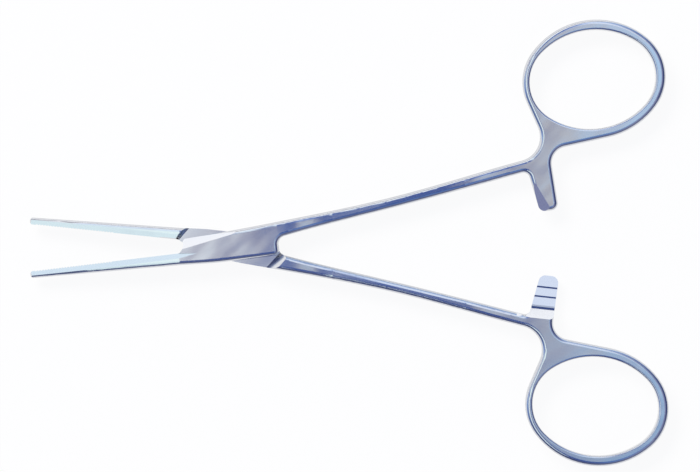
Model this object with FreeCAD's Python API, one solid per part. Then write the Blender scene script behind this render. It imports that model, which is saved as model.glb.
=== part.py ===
import FreeCAD, Part
import math
import os
from FreeCAD import Vector

# Hemostat forceps with a box lock, in millimetres. The hinge axis is +Z through the origin, which lies
# on the plane of the box's underside. Jaws point to -X and finger rings to +X. Each half is drawn
# closed, with its jaw below the X axis and its ring above, so that both halves share one blank. The
# through half is then mirrored, and the two are turned apart.

# Jaw
jaw_reach = 43.1               # hinge axis to tip
jaw_root_width = 2.52
jaw_tip_width = 1.47
jaw_tip_thickness = 1.7
jaw_tip_round = 0.8            # along the back at the tip; edge_round at the root
jaw_nose_round = 0.8           # seen from above
jaw_nose_drop = 0.76           # grip line to the nose's centre
jaw_nose_side_round = 1.15     # seen from the side
jaw_facet_start = 7.2          # the jaw's sloping side begins this far in front of the hinge
jaw_facet_drop = 0.67          # and this far below the X axis
jaw_facet_slope = 0.3          # across the jaw, at its start
jaw_facet_tip_slope = 0.2
grip_gap_tip = 0.04            # between the closed faces
grip_gap_root = 0.4

# Serrations across the grip face
serration_pitch = 0.6
serration_width = 0.5
serration_depth = 0.2
serrated_length = 17.0
serration_start = 1.3

# Box, seen from above
box_front = 11.0               # hinge axis to the crotch of the jaws
box_rear = 10.3
box_half_width = 3.2
box_thickness = 4.7
box_swell_x = 3.2              # where the box is at full width, in front of the hinge
box_swell_round = 60.0
box_corner_cut = 0.7
box_corner_round = 0.6
crotch_drop = 0.4              # rear crotch below the shank's inner edge
crotch_round = 1.8
cheek_slant = 1.0              # outer end of a cheek's front behind its crotch
cheek_hollow = 0.6             # depth of the curve between the two
bevel_width = 2.1              # slope along the front of a cheek
bevel_depth = 0.95
bevel_length = 19.0

# Lock: the neck of the through half in the slot of the box half
neck_thickness = 1.6
neck_face_gap = 0.05
neck_round = 3.05              # radius of the neck about the pin
neck_inset = 0.12              # neck inside the outline of the closed box
neck_wall_gap = 0.12
shoulder_gap = 0.1             # between shoulder and cheek, closed
front_shoulder_x = 11.05       # the front shoulder's foot, on the X axis
front_shoulder_slant = 2.15    # and how far behind that it meets the edge
front_ramp_length = 0.85       # from the foot of the shoulder to its top
rear_shoulder_x = 10.95
rear_shoulder_slant = 2.85
rear_ramp_length = 1.9
pin_radius = 1.6
pin_running_gap = 0.03

# Shank: distance along X, rise of its middle line, and width, at three stations
shank_start_x = 13.0
shank_start_rise = 2.45
shank_start_width = 3.2
shank_middle_x = 37.0
shank_middle_rise = 5.05
shank_middle_width = 2.25
shank_end_x = 61.5
shank_end_rise = 8.62
shank_end_width = 2.6
shank_thickness = 3.5
box_taper_start = 0.2          # behind the box's rear
box_taper_length = 12.0
edge_round = 0.95

# Finger ring
ring_hole_length = 27.0
ring_hole_width = 21.1
ring_front_x = 67.9            # front end of the hole
ring_rise = 25.6               # middle of the hole
ring_wall_front = 1.55
ring_wall_rear = 2.15
ring_wall_side = 2.2
ring_thickness = 3.2
ring_hole_round = 0.5
ring_taper_length = 10.0
ring_end_round = 8.9           # ends of the hole; its sides are flatter arcs
hub_front_angle = 197.2        # where the hub leaves the rim, anticlockwise from +X
hub_rear_angle = 275.2
hub_front_round = 5.2
hub_rear_round = 3.6

# Ratchet arm
arm_root_x = 67.8
arm_root_width = 5.3
arm_root_rise = 8.0
arm_tip_x = 68.7
arm_tip_width = 4.05
arm_overlap = 1.05             # reach past the X axis when closed
arm_tip_round = 1.5
arm_corner_round = 1.3
arm_facet_slope = 0.45         # one side of the arm's back falls away from a ridge
arm_ridge_shift = 0.5          # ridge beside the middle of the tip
tooth_count = 3
tooth_pitch = 2.05
tooth_height = 0.55
tooth_face_slant = 0.35        # crest in front of the root of a tooth's steep face
first_tooth = 2.7              # from the arm's tip
tooth_run_out = 3.3            # slope behind the last tooth
ratchet_gap = 0.16

# Motion, in degrees between the jaws
rest_opening = 13.4
full_opening = 42.0
stop_gap = 0.04

# Working values
mid_height = box_thickness / 2
neck_low = mid_height - neck_thickness / 2
neck_high = mid_height + neck_thickness / 2
ring_x = ring_front_x + ring_hole_length / 2
margin = 1.0                   # how far a cutting shape stands clear of a face
past = 8.0                     # how far it reaches past the metal
fuse_tolerance = 0.01
flat_left = 0.06               # flat kept between two rounded edges, at least
forged_round = min(edge_round, (shank_middle_width - flat_left) / 2)
hole_round = min(ring_hole_round, ring_wall_front - forged_round - flat_left)
up = Vector(0, 0, 1)


def flat(x, y):
    """A point on the plan."""
    return Vector(x, y, 0)


def direction(a, b):
    step = b.sub(a)
    return step.multiply(1 / step.Length)


def turned(point, degrees):
    """A plan point turned about the hinge axis."""
    angle = math.radians(degrees)
    x = point.x * math.cos(angle) - point.y * math.sin(angle)
    y = point.x * math.sin(angle) + point.y * math.cos(angle)
    return flat(x, y)


def meeting(a, along_a, b, along_b):
    """Where two plan lines cross."""
    across = along_a.x * along_b.y - along_a.y * along_b.x
    gap = b.sub(a)
    distance = (gap.x * along_b.y - gap.y * along_b.x) / across
    return a + along_a * distance


def polyline(points):
    return [Part.makeLine(a, b) for a, b in zip(points, points[1:])]


def rounded_path(corners):
    """Straight runs joined by tangent arcs; corners are (point, radius)."""
    edges = []
    last = corners[0][0]
    for i in range(1, len(corners) - 1):
        corner, radius = corners[i]
        back = direction(corner, corners[i - 1][0])
        ahead = direction(corner, corners[i + 1][0])
        half_turn = back.getAngle(ahead) / 2
        reach = radius / math.tan(half_turn)
        inward = direction(Vector(), back + ahead)
        start = corner + back * reach
        middle = corner + inward * (radius / math.sin(half_turn) - radius)
        end = corner + ahead * reach
        edges.append(Part.makeLine(last, start))
        edges.append(Part.Arc(start, middle, end).toShape())
        last = end
    edges.append(Part.makeLine(last, corners[-1][0]))
    return edges


def smooth_edge(points, first_direction, last_direction):
    curve = Part.BSplineCurve()
    curve.interpolate(Points=points, InitialTangent=first_direction, FinalTangent=last_direction)
    return curve.toShape()


def plate(edges, low, high):
    """A plate with this outline between two heights."""
    face = Part.Face(Part.Wire(edges))
    face.translate(up * low)
    return face.extrude(up * (high - low))


def straight_plate(points, low, high):
    return plate(polyline(points + [points[0]]), low, high)


def shank_points(side):
    """The shank's outer edge for side 1, its inner edge for side -1."""
    return [
        flat(shank_start_x, shank_start_rise + side * shank_start_width / 2),
        flat(shank_middle_x, shank_middle_rise + side * shank_middle_width / 2),
        flat(shank_end_x, shank_end_rise + side * shank_end_width / 2),
    ]


def shank_way():
    """Which way the shank runs where it meets the hub."""
    middle = flat(shank_middle_x, shank_middle_rise)
    return direction(middle, flat(shank_end_x, shank_end_rise))


def cheek_corner():
    """Outer corner at the front of a cheek, above the X axis."""
    return flat(cheek_slant - box_front, grip_gap_root / 2 + jaw_root_width)


def inner_side():
    """From the jaw's back along the box and the shank's inner edge to the hub."""
    points = shank_points(-1)
    crotch = flat(box_rear, points[0].y - crotch_drop)
    edges = rounded_path([
        (flat(-box_front, -grip_gap_root / 2 - jaw_root_width), 0),
        (flat(-box_swell_x, -box_half_width), box_swell_round),
        (flat(box_rear - box_corner_cut, -box_half_width), box_corner_round),
        (flat(box_rear, box_corner_cut - box_half_width), box_corner_round),
        (crotch, crotch_round),
        (points[0], 0),
    ])
    return edges + [smooth_edge(points, direction(crotch, points[0]), shank_way())]


def oval_arcs(x, half_length, half_width, end_radius):
    """Four tangent arcs as (centre, radius, start, end), in degrees from the rear end's middle."""
    reach = half_length - end_radius
    side_radius = (reach ** 2 + half_width ** 2 - end_radius ** 2) / (2 * (half_width - end_radius))
    drop = side_radius - half_width
    turn = math.degrees(math.atan2(drop, reach))
    middle = flat(x, ring_rise)
    return [
        (middle + flat(reach, 0), end_radius, -turn, turn),
        (middle - flat(0, drop), side_radius, turn, 180 - turn),
        (middle - flat(reach, 0), end_radius, 180 - turn, 180 + turn),
        (middle + flat(0, drop), side_radius, 180 + turn, 360 - turn),
    ]


def arc(centre, radius, start, end):
    circle = Part.Circle(centre, up, radius)
    return Part.ArcOfCircle(circle, math.radians(start), math.radians(end)).toShape()


def ring_hole():
    return oval_arcs(ring_x, ring_hole_length / 2, ring_hole_width / 2, ring_end_round)


def rim():
    wall = (ring_wall_front + ring_wall_rear) / 2
    x = ring_x + (ring_wall_rear - ring_wall_front) / 2
    half_width = ring_hole_width / 2 + ring_wall_side
    return oval_arcs(x, ring_hole_length / 2 + wall, half_width, ring_end_round + wall)


def handle():
    """Ratchet arm, hub and ring, from the shank's inner edge round to its outer edge."""
    left_tip = flat(arm_tip_x - arm_tip_width / 2, -arm_overlap)
    right_tip = flat(arm_tip_x + arm_tip_width / 2, -arm_overlap)
    left_way = direction(left_tip, flat(arm_root_x - arm_root_width / 2, arm_root_rise))
    right_way = direction(right_tip, flat(arm_root_x + arm_root_width / 2, arm_root_rise))
    inner_end = shank_points(-1)[2]
    outer_end = shank_points(1)[2]

    rear_end, far_side, front_end, near_side = rim()
    rear_out = turned(flat(1, 0), hub_rear_angle)
    front_out = turned(flat(1, 0), hub_front_angle)
    rear = near_side[0] + rear_out * near_side[1]
    front = front_end[0] + front_out * front_end[1]
    hub_rear = meeting(right_tip, right_way, rear, turned(rear_out, 90))
    hub_front = meeting(outer_end, shank_way(), front, turned(front_out, 90))
    edges = rounded_path([
        (inner_end, 0),
        (meeting(inner_end, shank_way(), left_tip, left_way), arm_corner_round),
        (left_tip, arm_tip_round),
        (right_tip, arm_tip_round),
        (hub_rear, hub_rear_round),
        (rear, 0),
    ])
    edges.append(arc(near_side[0], near_side[1], hub_rear_angle, near_side[3]))
    edges += [arc(*rear_end), arc(*far_side)]
    edges.append(arc(front_end[0], front_end[1], front_end[2], hub_front_angle))
    return edges + rounded_path([(front, 0), (hub_front, hub_front_round), (outer_end, 0)])


def outer_side():
    """From the hub along the shank's outer edge and the box to the front of the cheek."""
    start, middle, end = shank_points(1)
    widest = flat(0, box_half_width)
    corner = cheek_corner()
    side = smooth_edge([end, middle, start, widest, corner], shank_way() * -1, direction(widest, corner))
    crotch = flat(-box_front, -grip_gap_root / 2)
    across = direction(corner, crotch)
    hollow = (corner + crotch) * 0.5 + flat(-across.y, across.x) * cheek_hollow
    front = Part.Arc(corner, hollow, crotch).toShape()
    return [side, front, Part.makeLine(crotch, crotch - flat(0, jaw_root_width))]


def eased_line(a, b):
    """From one height to another, level at both ends."""
    middle = (a.x + b.x) / 2
    curve = Part.BezierCurve()
    curve.setPoles([a, Vector(middle, 0, a.z), Vector(middle, 0, b.z), b])
    return curve.toShape()


def side_outline():
    """Seen from the side: full thickness at the box, easing down to the shank and to the ring."""
    taper_start = box_rear + box_taper_start
    ring_start = shank_end_x - ring_taper_length
    far = ring_x + ring_hole_length
    edges = []
    ends = []
    for side in (1, -1):
        box_z = mid_height + side * box_thickness / 2
        shank_z = mid_height + side * shank_thickness / 2
        ring_z = mid_height + side * ring_thickness / 2
        front = Vector(-box_front, 0, box_z)
        box_end = Vector(taper_start, 0, box_z)
        shank_start = Vector(taper_start + box_taper_length, 0, shank_z)
        shank_end = Vector(ring_start, 0, shank_z)
        ring_front = Vector(shank_end_x, 0, ring_z)
        ring_rear = Vector(far, 0, ring_z)
        edges += [Part.makeLine(front, box_end), eased_line(box_end, shank_start)]
        edges += [Part.makeLine(shank_start, shank_end), eased_line(shank_end, ring_front)]
        edges.append(Part.makeLine(ring_front, ring_rear))
        ends += [front, ring_rear]
    edges.append(Part.makeLine(ends[0], ends[2]))
    edges.append(Part.makeLine(ends[1], ends[3]))
    return Part.sortEdges(edges)[0]


def is_forged_edge(edge):
    """True on the rims of the upper and lower faces, apart from the front of the cheeks."""
    run = edge.Vertexes[-1].Point - edge.Vertexes[0].Point
    upright = abs(run.z) > max(abs(run.x), abs(run.y))
    across = abs(run.y) > fuse_tolerance > max(abs(run.x), abs(run.z))
    middle = edge.CenterOfGravity
    cheek_front = middle.x < cheek_slant - box_front and middle.y > -grip_gap_root
    return not (upright or across or cheek_front)


def is_hole_rim(edge):
    """True on the two rims of the ring's hole."""
    box = edge.BoundBox
    along = abs(box.Center.x - ring_x) + box.XLength / 2 < ring_hole_length / 2 + fuse_tolerance
    across = abs(box.Center.y - ring_rise) + box.YLength / 2 < ring_hole_width / 2 + fuse_tolerance
    return along and across and box.ZLength < fuse_tolerance


def back_body():
    """Box, shank, hub, ring and arm as one rounded forging, still solid."""
    body = plate(inner_side() + handle() + outer_side(), -margin, box_thickness + margin)
    side = Part.Face(Part.Wire(side_outline()))
    side.translate(Vector(0, -past, 0))
    body = body.common(side.extrude(Vector(0, ring_rise + ring_hole_length + past, 0)))
    body = body.makeFillet(forged_round, [edge for edge in body.Edges if is_forged_edge(edge)])
    body = body.cut(plate([arc(*part) for part in ring_hole()], -margin, box_thickness + margin))
    return body.makeFillet(hole_round, [edge for edge in body.Edges if is_hole_rim(edge)])


def jaw_section(distance, gap, width, thickness, back_round):
    """The jaw cut across at this distance from the hinge: flat grip face, rounded back."""
    grip = -gap / 2
    back = grip - width
    bulge = back_round * (1 - math.sqrt(0.5))
    flats = []
    rounds = []
    for side in (1, -1):
        face = mid_height + side * thickness / 2
        start = Vector(-distance, back + back_round, face)
        middle = Vector(-distance, back + bulge, face - side * bulge)
        end = Vector(-distance, back, face - side * back_round)
        flats.append([end, start, Vector(-distance, grip, face)])
        rounds.append(Part.Arc(start, middle, end).toShape())
    (top_end, top_start, top_grip), (low_end, low_start, low_grip) = flats
    edges = polyline([top_start, top_grip, low_grip, low_start]) + [rounds[1]]
    edges += polyline([low_end, top_end]) + [rounds[0]]
    return Part.Wire(edges)


def nose_cutter(radius):
    """What is outside a round nose, seen from above."""
    start = Vector(-jaw_reach - margin, -past, -past)
    block = Part.makeBox(margin + radius, 2 * past, 3 * past, start)
    return block.cut(Part.makeCylinder(radius, 4 * past, Vector(radius - jaw_reach, 0, -2 * past)))


def jaw():
    """A tapering D-section, its nose rounded in plan and from the side."""
    root = jaw_section(box_front, grip_gap_root, jaw_root_width, box_thickness, forged_round)
    tip = jaw_section(jaw_reach, grip_gap_tip, jaw_tip_width, jaw_tip_thickness, jaw_tip_round)
    plan_nose = nose_cutter(jaw_nose_round)
    plan_nose.translate(Vector(0, -jaw_nose_drop, 0))
    side_nose = nose_cutter(jaw_nose_side_round)
    side_nose.rotate(Vector(), Vector(1, 0, 0), 90)
    side_nose.translate(up * mid_height)
    return Part.makeLoft([root, tip], True, True).cut([plan_nose, side_nose])


def jaw_facet():
    """Above the sloping side of the jaw's upper face, which falls towards the grip face."""
    tip_x = -jaw_reach - margin
    tip_top = mid_height + jaw_tip_thickness / 2
    start = (-jaw_facet_start, jaw_facet_drop, box_thickness, jaw_facet_slope)
    tip = (tip_x, jaw_tip_width, tip_top, jaw_facet_tip_slope)
    wires = []
    for x, drop, top, slope in (start, tip):
        high = Vector(x, -past, top + (past - drop) * slope)
        low = Vector(x, margin, top - (margin + drop) * slope)
        roof = top + past
        corners = [high, low, Vector(x, margin, roof), Vector(x, -past, roof)]
        wires.append(Part.Wire(polyline(corners + [corners[0]])))
    outline = [
        flat(-jaw_facet_start, -jaw_facet_drop),
        flat(-box_front, -grip_gap_root / 2),
        flat(-box_front, margin),
        flat(tip_x, margin),
        flat(tip_x, -past),
        flat(-jaw_facet_start, -past),
    ]
    return Part.makeLoft(wires, True, True).common(straight_plate(outline, 0, box_thickness + past))


def serrations(shift):
    """V grooves across the grip face, from the tip backwards."""
    grooves = []
    for i in range(int(serrated_length / serration_pitch)):
        x = serration_start + shift + i * serration_pitch - jaw_reach
        share = (x + jaw_reach) / (jaw_reach - box_front)
        face = -(grip_gap_tip + share * (grip_gap_root - grip_gap_tip)) / 2
        bottom = flat(x, face - serration_depth)
        left = flat(x - serration_width, face + serration_depth)
        right = flat(x + serration_width, face + serration_depth)
        grooves.append(straight_plate([bottom, right, left], -margin, box_thickness + margin))
    return Part.makeCompound(grooves)


def tooth_cutter():
    """Saw teeth with ramps towards the arm's tip, and the metal above them."""
    crest = mid_height - ratchet_gap / 2
    root = crest - tooth_height
    tip = -arm_overlap
    profile = [(tip - margin, root), (tip, root)]
    for i in range(tooth_count):
        end = tip + first_tooth + i * tooth_pitch
        profile += [(end - tooth_face_slant, crest), (end, root)]
    profile += [(end + tooth_run_out, box_thickness), (tip - margin, box_thickness)]
    points = [Vector(arm_root_x - arm_root_width, y, z) for y, z in profile]
    face = Part.Face(Part.Wire(polyline(points + [points[0]])))
    return face.extrude(Vector(2 * arm_root_width, 0, 0))


def slope_beside(start, end, height, slope):
    """Above a slope that falls away to the left of a line drawn on a face at this height."""
    along = direction(start, end)
    base = start + up * height
    far = base + flat(-along.y, along.x) * past
    corners = [base, far - up * slope * past, far + up * margin, base + up * margin]
    face = Part.Face(Part.Wire(polyline(corners + [corners[0]])))
    return face.extrude(end - start)


def arm_facet():
    """Falls away on one side of a ridge, from the arm's tip to the corner of its root."""
    tip = flat(arm_tip_x + arm_ridge_shift, -arm_overlap)
    root = flat(arm_root_x - arm_root_width / 2, arm_root_rise)
    start = tip - direction(tip, root) * arm_tip_width
    return slope_beside(start, root, mid_height + ring_thickness / 2, arm_facet_slope)


def upside_down(shape):
    """Mirrored about the middle plane of the box."""
    return shape.mirror(up * mid_height, up)


def tangent_touch(point, radius, side):
    """Where a line from the point touches the circle about the hinge; side 1 is anticlockwise."""
    spread = math.degrees(math.acos(radius / point.Length))
    return turned(direction(Vector(), point) * radius, side * spread)


def neck_corners():
    """The through half's neck, closed: the foot of each shoulder on the X axis and at the edge."""
    front_foot = flat(-front_shoulder_x, 0)
    front_edge = flat(front_shoulder_slant - front_shoulder_x, neck_inset - box_half_width)
    rear_foot = flat(rear_shoulder_x, 0)
    rear_edge = flat(rear_shoulder_x - rear_shoulder_slant, shank_points(1)[0].y - neck_inset)
    return front_foot, front_edge, rear_foot, rear_edge


def hidden_corner(crotch, outer):
    """Removed from the neck, so that it turns between the walls of the slot."""
    start = tangent_touch(crotch, neck_round, -1)
    end = tangent_touch(outer, neck_round, 1)
    middle = direction(Vector(), start + end) * neck_round
    beyond = math.copysign(past, end.y)
    far = crotch.x + math.copysign(past, crotch.x)
    edges = polyline([end, outer, flat(outer.x, beyond), flat(far, beyond), flat(far, 0), crotch, start])
    edges.append(Part.Arc(start, middle, end).toShape())
    return plate(edges, neck_low - neck_face_gap, neck_high + neck_face_gap)


def shoulder(foot, edge, ramp_length, gap):
    """The through half's metal above the neck, beyond a slope that rises away from the hinge."""
    beyond = flat(math.copysign(2 * past, foot.x), 0)
    outward = flat(edge.y - foot.y, foot.x - edge.x)
    outward = direction(Vector(), outward * math.copysign(1, outward.dot(foot)))
    reach = direction(foot, edge) * past
    wires = []
    for steps in (0, 2):
        base = foot + outward * (ramp_length * steps - gap)
        base = base + up * (neck_high + (box_thickness - neck_high) * steps)
        corners = [base, base + reach, base + reach + beyond, base + beyond]
        wires.append(Part.Wire(polyline(corners + [corners[0]])))
    return Part.makeLoft(wires, True, True)


def shoulders(gap):
    front_foot, front_edge, rear_foot, rear_edge = neck_corners()
    front = shoulder(front_foot, front_edge, front_ramp_length, gap)
    return [front, shoulder(rear_foot, rear_edge, rear_ramp_length, gap)]


def cheek_pocket():
    """Removed above the neck, between the two shoulders."""
    reach = front_shoulder_x + past / 2
    outline = [flat(-reach, -past), flat(reach, -past), flat(reach, past), flat(-reach, past)]
    return straight_plate(outline, neck_high, box_thickness + margin).cut(shoulders(0))


def slot_side(crotch, outer):
    """Corners of the slot, closed: past the crotch, at the wall's end and out of the box."""
    touch = tangent_touch(crotch, neck_round, -1)
    stop = tangent_touch(outer, neck_round, 1)
    stop_way = direction(stop, outer)
    touch, crotch, stop, stop_way = [flat(p.x, -p.y) for p in (touch, crotch, stop, stop_way)]
    stop = turned(stop, -full_opening)
    stop_way = turned(stop_way, -full_opening)
    wall_way = direction(touch, crotch)
    touch = touch * (1 + neck_wall_gap / neck_round)
    stop = stop * (1 + stop_gap / neck_round)
    wall_end = meeting(touch, wall_way, stop, stop_way)
    return [touch + wall_way * (crotch.Length + margin), wall_end, wall_end + stop_way * 2 * past]


def slot():
    """The passage that the neck sweeps from closed to fully open."""
    front_foot, front_edge, rear_foot, rear_edge = neck_corners()
    points = slot_side(front_foot, rear_edge) + slot_side(rear_foot, front_edge)
    return straight_plate(points, neck_low - neck_face_gap, neck_high + neck_face_gap)


def cheek_bevel():
    """The sloping band along the front of the upper cheek."""
    corner = cheek_corner()
    start = corner - flat(0, bevel_width)
    end_x = corner.x + bevel_length
    box_flare = (shank_points(1)[0].y - box_half_width) / shank_start_x
    end = flat(end_x, box_half_width + end_x * box_flare)
    along = direction(start, end)
    slope = bevel_depth / (bevel_width * along.x)
    return slope_beside(start - along * past, end, box_thickness, slope)


def pin_hole(radius):
    return Part.makeCylinder(radius, box_thickness + 2 * margin, up * -margin)


def half_blank():
    """What the two forgings share."""
    return back_body().fuse([jaw()], fuse_tolerance).removeSplitter()


def both_faces(shapes):
    return shapes + [upside_down(shape) for shape in shapes]


def box_half(blank):
    """The outer half: two cheeks with the slot between them, teeth under its ratchet arm."""
    cutters = [arm_facet(), upside_down(tooth_cutter()), slot(), pin_hole(pin_radius), serrations(0)]
    undercuts = [shape.mirror(Vector(), Vector(0, 1, 0)) for shape in shoulders(shoulder_gap)]
    cutters += both_faces([cheek_bevel(), jaw_facet()] + undercuts)
    body = blank
    for cutter in cutters:
        body = body.cut(cutter)
    body.rotate(Vector(), up, rest_opening / 2)
    return body


def through_half(blank):
    """The inner half: a thin neck between its shoulders, teeth on top of its ratchet arm."""
    front_foot, front_edge, rear_foot, rear_edge = neck_corners()
    cutters = [upside_down(arm_facet()), tooth_cutter(), pin_hole(pin_radius + pin_running_gap)]
    cutters += [hidden_corner(front_foot, rear_edge), hidden_corner(rear_foot, front_edge)]
    cutters += both_faces([cheek_pocket(), jaw_facet()]) + [serrations(serration_pitch / 2)]
    body = blank
    for cutter in cutters:
        body = body.cut(cutter)
    body = body.mirror(Vector(), Vector(0, 1, 0))
    body.rotate(Vector(), up, -rest_opening / 2)
    return body


def joint_pin():
    """Riveted in the cheeks and ground flush with them."""
    return Part.makeCylinder(pin_radius, box_thickness)


os.makedirs("parts", exist_ok=True)
forging = half_blank()
pieces = {
    "box_half": box_half(forging),
    "through_half": through_half(forging),
    "joint_pin": joint_pin(),
}
for name, shape in pieces.items():
    shape.exportStep("parts/" + name + ".step")
    print(name, "solids", len(shape.Solids), "volume", round(shape.Volume, 1))
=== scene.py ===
# %% [markdown]
# # Hemostat forceps in polished stainless steel
# The forceps are two crossed levers with a box lock, held by one pin. Their shape comes whole from the
# CAD solids, so this notebook gives the steel its finish, lays the instrument on a pale table and lights
# it. Everything is in metres. The hinge axis is +Z, the jaws point to -X and the finger rings to +X.

# %% Load the forceps
import bpy
import math
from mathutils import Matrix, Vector

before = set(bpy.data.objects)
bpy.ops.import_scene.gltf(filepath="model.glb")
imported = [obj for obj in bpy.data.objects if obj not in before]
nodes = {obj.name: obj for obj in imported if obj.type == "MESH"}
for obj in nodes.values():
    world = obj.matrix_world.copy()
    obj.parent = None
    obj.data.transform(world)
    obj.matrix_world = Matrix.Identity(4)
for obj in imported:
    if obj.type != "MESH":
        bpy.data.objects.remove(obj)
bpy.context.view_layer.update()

# %% [markdown]
# ## Small helpers
# Colours are given as the hex values of a paint program, which are gamma-coded, while shaders work in
# linear light. One function converts them. A second one adds a node, sets its values and links its
# inputs in one call, so that a whole material reads as a short list. The last one writes a row of
# colours as a ramp.

# %% Colour and node helpers
MM = 0.001


def linear(hex_colour):
    channels = [int(hex_colour[i:i + 2], 16) / 255 for i in (1, 3, 5)]
    return [c / 12.92 if c <= 0.04045 else ((c + 0.055) / 1.055) ** 2.4 for c in channels] + [1]


def add(tree, kind, inputs={}, **settings):
    node = tree.nodes.new(kind)
    for name, value in settings.items():
        setattr(node, name, value)
    for name, value in inputs.items():
        socket = node.inputs[name]
        if isinstance(value, bpy.types.NodeSocket):
            tree.links.new(value, socket)
        else:
            socket.default_value = value
    return node


def new_material(name):
    material = bpy.data.materials.new(name)
    material.use_nodes = True
    material.node_tree.nodes.clear()
    return material


def colour_ramp(tree, value, stops):
    """Stops are (position, hex colour), from left to right."""
    node = add(tree, "ShaderNodeValToRGB", {"Fac": value})
    elements = node.color_ramp.elements
    elements[0].position, elements[1].position = stops[0][0], stops[-1][0]
    elements[0].color, elements[1].color = linear(stops[0][1]), linear(stops[-1][1])
    for position, colour in stops[1:-1]:
        elements.new(position).color = linear(colour)
    return node


print("mid grey in linear light:", [round(c, 3) for c in linear("#808080")])

# %% [markdown]
# ## Polished forged stainless steel
# Each half is drop-forged from martensitic stainless steel, ground, and polished on felt wheels. The
# wheel leaves three things that the eye reads as real metal:
# - The surface is not quite flat. Soft folds some millimetres wide cross the box and the shanks on the
#   slant, because the piece is held at an angle to the wheel, and reflections bend in them.
# - Very fine lines run along the lever, because it is drawn across the wheel lengthwise.
# - The gloss changes a little from place to place.
#
# Folds and lines could be cut in the mesh, but they are only hundredths of a millimetre deep, so they are
# bump here, and the gloss is roughness. All three are noise on Object coordinates, so nothing slides when
# a lever turns. The real lines are some hundredths of a millimetre apart, too fine to show, so they are
# drawn at 0.25 mm. The metal itself is a nearly neutral grey: the blue in it is the room's.

# %% Sizes of the polish
FOLD_WIDTH = 4 * MM
FOLD_STRETCH = 2.5
FOLD_SLANT = 0.5
FOLD_DEPTH = 0.08 * MM
LINE_SPACING = 0.25 * MM
LINE_STRETCH = 14
LINE_DEPTH = 0.004 * MM
LINE_STRENGTH = 0.5
PATCH_SIZE = 9 * MM
GLOSSIEST = 0.11
DULLEST = 0.19
print("folds", FOLD_WIDTH / MM, "mm wide, lines", LINE_SPACING / MM, "mm apart")


# %% Steel finish
def polished_steel(name, lever_turn):
    """lever_turn is how far the lever lies from the X axis, in radians."""
    material = new_material(name)
    tree = material.node_tree
    place = add(tree, "ShaderNodeTexCoord").outputs["Object"]
    along = add(tree, "ShaderNodeMapping", {"Vector": place, "Rotation": (0, 0, -lever_turn)})
    drawn = add(tree, "ShaderNodeMapping", {
        "Vector": along.outputs["Vector"],
        "Scale": (1 / LINE_STRETCH, 1, 1),
    })
    slanted = add(tree, "ShaderNodeMapping", {
        "Vector": place,
        "Rotation": (0, 0, -lever_turn - FOLD_SLANT),
    })
    folded = add(tree, "ShaderNodeMapping", {
        "Vector": slanted.outputs["Vector"],
        "Scale": (1 / FOLD_STRETCH, 1, 1),
    })
    folds = add(tree, "ShaderNodeTexNoise", {
        "Vector": folded.outputs["Vector"], "Scale": 1 / FOLD_WIDTH, "Detail": 1.0, "Roughness": 0.4,
    })
    lines = add(tree, "ShaderNodeTexNoise", {
        "Vector": drawn.outputs["Vector"], "Scale": 1 / LINE_SPACING, "Detail": 2.0, "Roughness": 0.6,
    })
    patches = add(tree, "ShaderNodeTexNoise", {
        "Vector": place, "Scale": 1 / PATCH_SIZE, "Detail": 3.0, "Roughness": 0.5,
    })
    gloss = add(tree, "ShaderNodeMapRange", {
        "Value": patches.outputs["Fac"],
        "From Min": 0.3, "From Max": 0.7, "To Min": GLOSSIEST, "To Max": DULLEST,
    })
    tint = add(tree, "ShaderNodeMix", {
        "Factor": patches.outputs["Fac"], "A": linear("#d0d2d7"), "B": linear("#d8d9dd"),
    }, data_type="RGBA")
    folded_face = add(tree, "ShaderNodeBump", {
        "Height": folds.outputs["Fac"], "Strength": 1.0, "Distance": FOLD_DEPTH,
    })
    lined_face = add(tree, "ShaderNodeBump", {
        "Height": lines.outputs["Fac"], "Normal": folded_face.outputs["Normal"],
        "Strength": LINE_STRENGTH, "Distance": LINE_DEPTH,
    })
    steel = add(tree, "ShaderNodeBsdfPrincipled", {
        "Base Color": tint.outputs["Result"],
        "Metallic": 1.0,
        "Roughness": gloss.outputs["Result"],
        "Normal": lined_face.outputs["Normal"],
    })
    add(tree, "ShaderNodeOutputMaterial", {"Surface": steel.outputs["BSDF"]})
    return material


# %% [markdown]
# ## Steel on each piece
# The two levers cross at the box lock, so the polishing lines of one are turned against those of the
# other. The pin is ground flush with the cheek and polished with it.

# %% Finish the pieces
LEVER_TURN = math.radians(6.7)
for node_name, turn in (("box_half", LEVER_TURN), ("through_half", -LEVER_TURN), ("joint_pin", 0)):
    finish = polished_steel("polished_forged_stainless_" + node_name, turn)
    slots = nodes[node_name].material_slots
    for slot in slots:
        slot.material = finish
    print(node_name, "has", len(slots), "material slot(s)")

# %% [markdown]
# ## Table
# The instrument lies flat on white paper. A floor that is lit like everything else keeps its soft
# shadow. What the camera and polished steel see of it is mixed with plain white of strength 1, so the
# page stays white without more light on the steel. Seven hundredths are left to the lit paper, which is
# enough for a faint shadow.

# %% Paper floor
FLOOR_SIZE = 3.0
FLOOR_CENTRE_X = 0.03
FLOOR_GAP = 0.05 * MM
PLAIN_WHITE_SHARE = 0.93
bpy.ops.object.select_all(action="DESELECT")
bpy.ops.mesh.primitive_plane_add(size=FLOOR_SIZE, location=(FLOOR_CENTRE_X, 0, -FLOOR_GAP))
floor = bpy.context.object
floor.name = "paper_floor"
bpy.ops.object.transform_apply(location=True)

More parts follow.
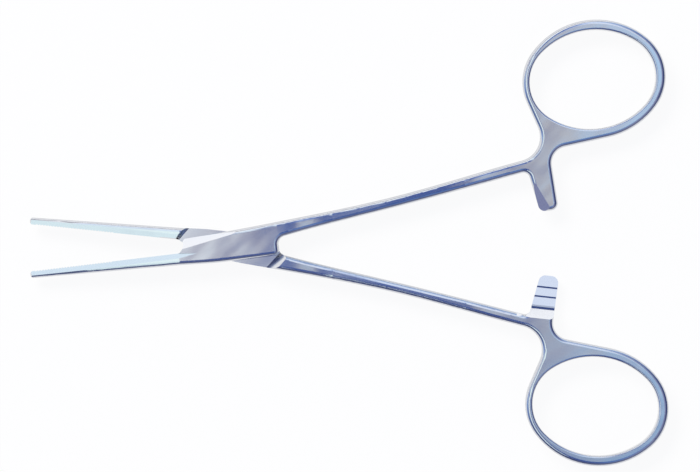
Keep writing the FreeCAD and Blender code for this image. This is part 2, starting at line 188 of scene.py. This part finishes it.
paper = new_material("matt_white_paper")
tree = paper.node_tree
rays = add(tree, "ShaderNodeLightPath")
seen = add(tree, "ShaderNodeMath", {
    0: rays.outputs["Is Camera Ray"], 1: rays.outputs["Is Glossy Ray"],
}, operation="MAXIMUM")
seen = add(tree, "ShaderNodeMath", {
    0: seen.outputs["Value"], 1: rays.outputs["Is Transmission Ray"],
}, operation="MAXIMUM")
share = add(tree, "ShaderNodeMath", {0: seen.outputs["Value"], 1: PLAIN_WHITE_SHARE}, operation="MULTIPLY")
matt = add(tree, "ShaderNodeBsdfDiffuse", {"Color": linear("#f4f5f6")})
glow = add(tree, "ShaderNodeEmission", {"Color": (1, 1, 1, 1), "Strength": 1.0})
mixed = add(tree, "ShaderNodeMixShader", {
    0: share.outputs["Value"], 1: matt.outputs["BSDF"], 2: glow.outputs["Emission"],
})
add(tree, "ShaderNodeOutputMaterial", {"Surface": mixed.outputs["Shader"]})
floor.data.materials.append(paper)
print("floor", FLOOR_SIZE, "m wide")

# %% [markdown]
# ## Room round the table
# Polished metal has hardly a colour of its own: it shows the room. Slanted faces and rounded edges look
# sideways, into the world. Towards the upper left it is a white window, then it falls through pale blue
# to a dark blue side at the lower right. A dark band a little above the table, like a skirting board,
# gives the rounded edges the thin dark outline that polished steel has on a white page. An HDR picture
# of a studio would do the same, but a gradient needs no file and each tone can be set on its own.

# %% World
WINDOW_SIDE = (-0.55, 0.83, 0.0)
ROOM_STRENGTH = 1.4
world = bpy.data.worlds.new("soft_cool_room")
bpy.context.scene.world = world
world.use_nodes = True
tree = world.node_tree
tree.nodes.clear()
way = add(tree, "ShaderNodeTexCoord")
towards_window = add(tree, "ShaderNodeVectorMath", {
    0: way.outputs["Generated"], 1: WINDOW_SIDE,
}, operation="DOT_PRODUCT")
share = add(tree, "ShaderNodeMapRange", {
    "Value": towards_window.outputs["Value"], "From Min": -1.0, "From Max": 1.0,
})
walls = colour_ramp(tree, share.outputs["Result"], [
    (0.00, "#8a8fa6"), (0.12, "#666e8e"), (0.26, "#3b4470"), (0.38, "#44517f"), (0.50, "#4c5f8c"),
    (0.66, "#7f9ace"), (0.74, "#a3c0ee"), (0.80, "#ccdff8"), (0.86, "#ffffff"), (1.00, "#ffffff"),
])
height = add(tree, "ShaderNodeSeparateXYZ", {"Vector": way.outputs["Generated"]})
skirting = colour_ramp(tree, height.outputs["Z"], [
    (0.20, "#000000"), (0.30, "#e8e8e8"), (0.42, "#d8d8d8"), (0.52, "#909090"), (0.60, "#000000"),
])
room = add(tree, "ShaderNodeMix", {
    "Factor": skirting.outputs["Color"], "A": walls.outputs["Color"], "B": linear("#3c4660"),
}, data_type="RGBA")
backdrop = add(tree, "ShaderNodeBackground", {"Color": room.outputs["Result"], "Strength": ROOM_STRENGTH})
white = add(tree, "ShaderNodeBackground", {"Color": (1, 1, 1, 1), "Strength": 1.0})
rays = add(tree, "ShaderNodeLightPath")
mixed = add(tree, "ShaderNodeMixShader", {
    0: rays.outputs["Is Camera Ray"], 1: backdrop.outputs["Background"], 2: white.outputs["Background"],
})
add(tree, "ShaderNodeOutputWorld", {"Surface": mixed.outputs["Shader"]})
print("world:", world.name)

# %% [markdown]
# ## Card overhead
# Flat faces look straight up, so a glowing card hung over the table sets their tone: its colours are painted
# reflections, one for each part below it. Seen from the forceps, a point of the card 1.6 times as far from the
# middle lies in a flat face's reflection, so the card glows in a row of tones along X: white over the jaws,
# then violet-grey over the box, blue over the shanks and pale over the hubs and rings. It lies within the
# lens's reach, so it is hidden from the camera, it lights nothing but reflections, and it casts no shadow.

# %% Card
CARD_HEIGHT = 0.5
CARD_SIZE = 0.9
CARD_CENTRE_X = 0.02
CARD_STRENGTH = 1.5
bpy.ops.object.select_all(action="DESELECT")
bpy.ops.mesh.primitive_plane_add(size=CARD_SIZE, location=(CARD_CENTRE_X, 0, CARD_HEIGHT))
card = bpy.context.object
card.name = "card_overhead"
bpy.ops.object.transform_apply(location=True)
card.visible_camera = False
card.visible_diffuse = False
card.visible_shadow = False
print("card", CARD_SIZE, "m wide, hung", CARD_HEIGHT, "m up")

# %% Painted reflections over the flat faces
# The card's glow carries painted reflections: each tone is set for the part that mirrors it.
reflection_card_glow = new_material("glowing_reflection_card")
tree = reflection_card_glow.node_tree
place = add(tree, "ShaderNodeTexCoord")
parts = add(tree, "ShaderNodeSeparateXYZ", {"Vector": place.outputs["Object"]})
along = add(tree, "ShaderNodeMapRange", {
    "Value": parts.outputs["X"], "From Min": -0.14, "From Max": 0.16,
})
middle = colour_ramp(tree, along.outputs["Result"], [
    (0.00, "#def1ef"), (0.20, "#e2f3f1"), (0.28, "#ecf7f6"), (0.33, "#e3ebef"), (0.36, "#cfd0d6"),
    (0.40, "#bebdc4"), (0.435, "#868294"), (0.47, "#7f839c"), (0.51, "#5a6ea0"), (0.60, "#3c5494"),
    (0.71, "#4a5888"), (0.735, "#858aa2"), (0.755, "#bcb6b2"), (0.81, "#bdb8b4"), (0.86, "#aac8e6"),
    (1.00, "#a9c4dc"),
])
# A blue patch over the lower ring, a painted reflection for that ring's flat face.
lower = add(tree, "ShaderNodeMapRange", {
    "Value": parts.outputs["Y"], "From Min": -0.02, "From Max": -0.06, "To Max": 0.5,
})
rear = add(tree, "ShaderNodeMapRange", {"Value": parts.outputs["X"], "From Min": 0.06, "From Max": 0.10})
over_lower_ring = add(tree, "ShaderNodeMath", {
    0: lower.outputs["Result"], 1: rear.outputs["Result"],
}, operation="MULTIPLY")
painted_reflection = add(tree, "ShaderNodeMix", {
    "Factor": over_lower_ring.outputs["Value"], "A": middle.outputs["Color"], "B": linear("#6488ae"),
}, data_type="RGBA")
print("stops over the flat faces:", len(middle.color_ramp.elements))

# %% [markdown]
# ## Edges of the card
# The start of each rounded edge is tilted only a little and looks at the card far from its middle. So the
# card's two long sides glow with tones of their own: a painted highlight row for the upper edges of the
# levers, paler at both ends, and a dark painted shade row for their lower edges. The far ends of the card glow
# a plain grey-violet, a painted reflection which the slanted face of the upper ratchet arm shows.

# %% Painted highlights and painted shade over the rounded edges
# Painted highlight row for the upper edges of the levers, painted shade row for their lower edges.
painted_upper_edge_highlight = colour_ramp(tree, along.outputs["Result"], [
    (0.20, "#d6e6ef"), (0.27, "#f0f5f8"), (0.34, "#5a6c9e"), (0.45, "#364a8c"), (0.58, "#3c5498"),
    (0.68, "#90abdc"), (0.78, "#d6dfee"),
])
painted_lower_edge_shade = colour_ramp(tree, along.outputs["Result"], [
    (0.24, "#d8eaec"), (0.31, "#4c5480"), (0.45, "#3a4c88"), (0.80, "#42588f"), (1.00, "#5a78ae"),
])
far_up = add(tree, "ShaderNodeMapRange", {"Value": parts.outputs["Y"], "From Min": 0.08, "From Max": 0.13})
far_down = add(tree, "ShaderNodeMapRange", {"Value": parts.outputs["Y"], "From Min": -0.08, "From Max": -0.13})
for side, colours in ((far_up, painted_upper_edge_highlight), (far_down, painted_lower_edge_shade)):
    painted_reflection = add(tree, "ShaderNodeMix", {
        "Factor": side.outputs["Result"], "A": painted_reflection.outputs["Result"], "B": colours.outputs["Color"],
    }, data_type="RGBA")
# The far ends glow grey-violet, a painted reflection for the slanted face of the upper ratchet arm.
far = add(tree, "ShaderNodeMath", {0: parts.outputs["X"]}, operation="ABSOLUTE")
ends = add(tree, "ShaderNodeMapRange", {"Value": far.outputs["Value"], "From Min": 0.19, "From Max": 0.26})
painted_reflection = add(tree, "ShaderNodeMix", {
    "Factor": ends.outputs["Result"], "A": painted_reflection.outputs["Result"], "B": linear("#7c80a0"),
}, data_type="RGBA")
glow = add(tree, "ShaderNodeEmission", {"Color": painted_reflection.outputs["Result"], "Strength": CARD_STRENGTH})
add(tree, "ShaderNodeOutputMaterial", {"Surface": glow.outputs["Emission"]})
card.data.materials.append(reflection_card_glow)
print("material on the card:", reflection_card_glow.name)

# %% [markdown]
# ## Lamps
# Two soft lamps bring the light on the paper to a plain level, at which a colour renders about as it is
# written, and the stronger one throws the shadow to the lower right. They are slightly warm against the
# cool room. Polished steel would show them as hard white bars, so they are hidden from glossy rays: the
# room and the card alone make the reflections.

# %% Soft lamps
LAMP_COLOUR = "#fff4e6"


def soft_lamp(name, place, size, watts):
    light = bpy.data.lights.new(name, "AREA")
    light.shape = "RECTANGLE"
    light.size, light.size_y = size
    light.energy = watts
    light.color = linear(LAMP_COLOUR)[:3]
    lamp = bpy.data.objects.new(name, light)
    lamp.location = place
    lamp.rotation_euler = (-Vector(place)).to_track_quat("-Z", "Y").to_euler()
    lamp.visible_glossy = False
    bpy.context.scene.collection.objects.link(lamp)
    print("lamp", name, watts, "W")


soft_lamp("window", (-0.7, 0.9, 0.9), (0.9, 0.5), 20)
soft_lamp("fill", (0.9, -0.7, 0.8), (0.8, 0.8), 4)

# %% [markdown]
# ## Camera
# The picture is taken from straight above with no perspective to be seen, so a long lens looks down on
# the instrument. The length across the frame is known from the CAD: one pixel is 0.2139 mm. The picture
# is turned by half a degree, as if the copy stand wasn't quite square to the instrument.

# %% Copy stand
PIXELS_WIDE = 700
MM_PER_PIXEL = 0.2139
VIEW_CENTRE = (25.69, 1.92)
LENS = 200
SENSOR = 36
ROLL = math.radians(-0.5)
HALF_THICKNESS = 2.35

view_width = PIXELS_WIDE * MM_PER_PIXEL * MM
camera_data = bpy.data.cameras.new("copy_stand")
camera_data.lens = LENS
camera_data.sensor_width = SENSOR
camera = bpy.data.objects.new("copy_stand", camera_data)
height = view_width * LENS / SENSOR
camera.location = (VIEW_CENTRE[0] * MM, VIEW_CENTRE[1] * MM, HALF_THICKNESS * MM + height)
camera.rotation_euler = (0, 0, ROLL)
bpy.context.scene.collection.objects.link(camera)
bpy.context.scene.camera = camera
bpy.context.scene.view_settings.view_transform = "Standard"
print("camera", round(height, 3), "m above the forceps")
